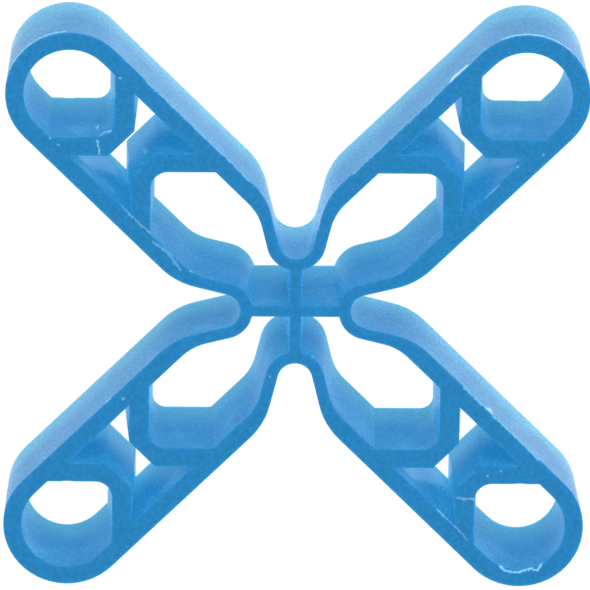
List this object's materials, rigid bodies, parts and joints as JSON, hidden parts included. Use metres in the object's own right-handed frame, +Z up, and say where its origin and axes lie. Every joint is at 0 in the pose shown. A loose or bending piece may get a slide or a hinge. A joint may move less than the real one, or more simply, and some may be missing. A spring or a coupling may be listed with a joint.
{
  "type": "tile spacer",
  "caption": "Flat cross of hollow round-ended legs on a narrow braced hub, moulded in one piece, that holds tiles an even joint apart while the adhesive sets.",
  "frame": {"origin": "middle of the underside, at the crossing of the two hub webs", "axes": "+Z up through the thickness, from the smaller face, which lies on the floor, to the larger one; +X and +Y along two legs, as the joints between square tiles run"},
  "size_m": [0.0572, 0.0572, 0.0084],
  "materials": {
    "blue_polythene": "smooth, slightly translucent blue polythene with a waxy sheen"
  },
  "bodies": {
    "root": {"spacer": "blue_polythene"}
  },
  "joints": []
}
